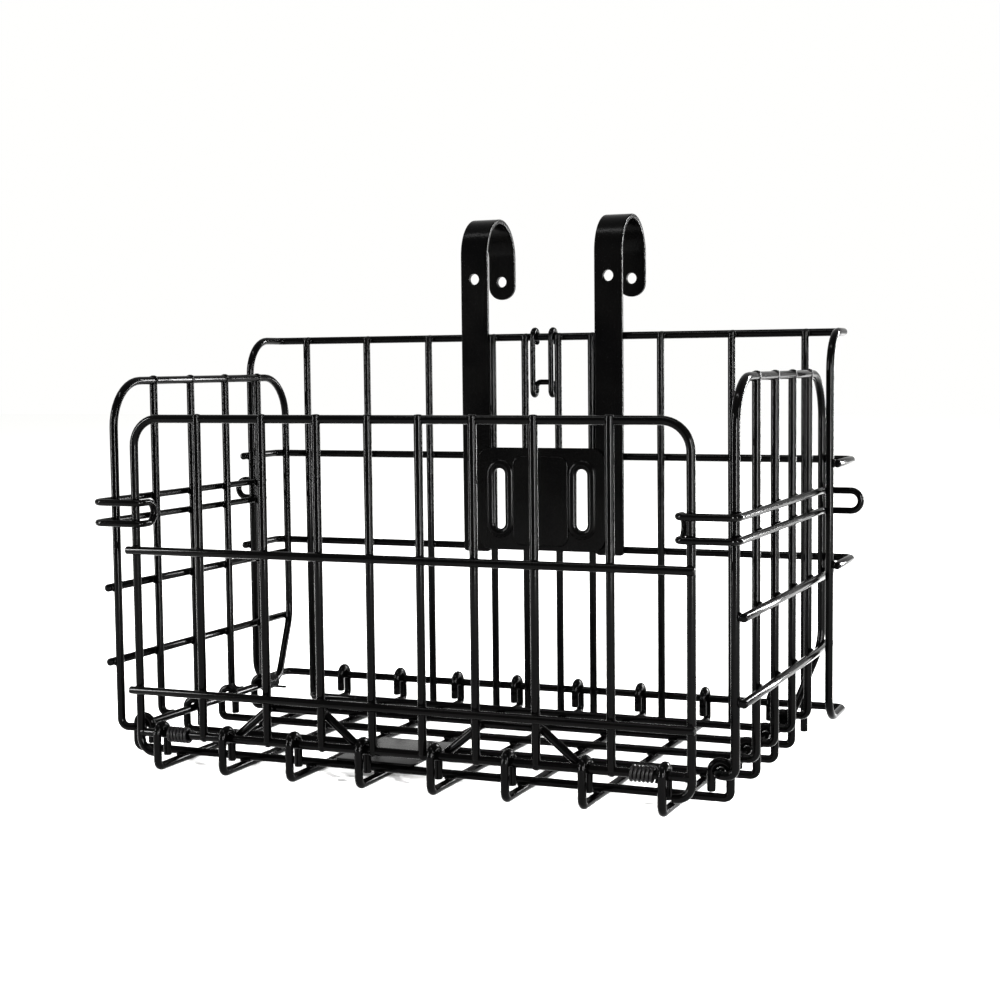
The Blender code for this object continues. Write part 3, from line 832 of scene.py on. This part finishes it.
def spring_path(start, along, up, inward):
    """A leg, the coil round a rod, a quarter turn and an upright tip."""
    steps = 24
    path = []
    for i in range(COIL_TURNS * steps + 1):
        turn = 2 * pi * i / steps - pi / 2
        offset = inward * (COIL_R * cos(turn)) + up * (COIL_R * sin(turn))
        path.append(start + along * (COIL_LENGTH * i / (COIL_TURNS * steps)) + offset)
    first, last = path[0], path[-1]
    quarter = [
        last + inward * (COIL_R * sin(t)) + up * (COIL_R - COIL_R * cos(t)) + along * (0.2 * t)
        for t in [pi / 2 * i / 6 for i in range(1, 7)]
    ]
    return [first + inward * SPRING_LEG] + path + quarter + [quarter[-1] + up * SPRING_TIP]


def springs():
    for side in (-1, 1):
        name = side_name(side) + "_front_spring"
        start = Vector((side * FRONT_SPRING_X, FRONT_Y, FRONT_ROD_Z))
        path = spring_path(start, Vector((-side, 0, 0)), Z_AXIS, Y_AXIS)
        piece(name + "_coil", [tube(path, SPRING_R, sides=10)], SPRING_FINISH, "floor", name)
        name = side_name(side) + "_side_spring"
        start = Vector((side * SIDE_ROD_X, SIDE_UPRIGHTS[3] - SIDE_SPRING_STEP, SIDE_ROD_Z))
        path = spring_path(start, -Y_AXIS, Z_AXIS, Vector((-side, 0, 0)))
        piece(name + "_coil", [tube(path, SPRING_R, sides=10)], SPRING_FINISH, "floor", name)


# ---------------------------------------------------------------- stage, light and camera


def stage():
    """A plain pale floor, an even pale sky, and long lamps for the lines of light along the wires."""
    mesh = bpy.data.meshes.new("ground")
    far = 6
    mesh.from_pydata([(-far, -far, 0), (far, -far, 0), (far, far, 0), (-far, far, 0)], [], [(0, 1, 2, 3)])
    ground = bpy.data.objects.new("ground", mesh)
    bpy.context.scene.collection.objects.link(ground)
    ground.data.materials.append(plain_stage("ground", (0.975, 0.975, 0.97)))
    world = bpy.data.worlds.new("studio")
    bpy.context.scene.world = world
    world.use_nodes = True
    world.node_tree.nodes["Background"].inputs["Color"].default_value = (1.0, 1.0, 0.99, 1)
    world.node_tree.nodes["Background"].inputs["Strength"].default_value = 1.0
    strip_light("left strip", (-1.3, -1.0, 0.5), 0.07, 1.0, 110)
    strip_light("right strip", (1.7, -0.3, 0.5), 0.08, 1.0, 80)
    strip_light("front strip", (0.95, -0.95, 0.3), 0.08, 0.6, 90)
    strip_light("back strip", (0.9, 1.6, 0.5), 0.08, 1.0, 60)
    strip_light("top strip", (-0.1, -0.5, 1.7), 1.3, 0.1, 25)


def strip_light(name, place, width, height, watts):
    """A long narrow lamp, upright unless it hangs high, which draws one thin line along a glossy wire."""
    light = bpy.data.lights.new(name, "AREA")
    light.shape = "RECTANGLE"
    light.size, light.size_y = width, height
    light.energy = watts
    obj = bpy.data.objects.new(name, light)
    bpy.context.scene.collection.objects.link(obj)
    obj.location = place
    aim = Vector((0, 0, place[2] if place[2] < 1 else 0)) - Vector(place)
    obj.rotation_euler = aim.to_track_quat("-Z", "Y").to_euler()


def camera():
    data = bpy.data.cameras.new("camera")
    obj = bpy.data.objects.new("camera", data)
    bpy.context.scene.collection.objects.link(obj)
    data.sensor_width = 36
    data.lens = LENS
    data.clip_end = 50
    yaw, pitch, roll = radians(YAW), radians(PITCH), radians(ROLL)
    ahead = Vector((-sin(yaw) * cos(pitch), cos(yaw) * cos(pitch), -sin(pitch)))
    right = Vector((cos(yaw), sin(yaw), 0))
    up = right.cross(ahead)
    tilted_right = right * cos(roll) + up * sin(roll)
    tilted_up = up * cos(roll) - right * sin(roll)
    turn = Matrix((tilted_right, tilted_up, -ahead)).transposed()
    obj.matrix_world = Matrix.Translation(CAMERA_PLACE) @ turn.to_4x4()
    bpy.context.scene.camera = obj
    bpy.context.scene.view_settings.view_transform = "Standard"


def main():
    front_panel()
    for side in (-1, 1):
        side_panel(side)
        strap(side)
    back_panel()
    mounting_plate()
    floor_panel()
    folding_catch()
    springs()
    stage()
    camera()


main()
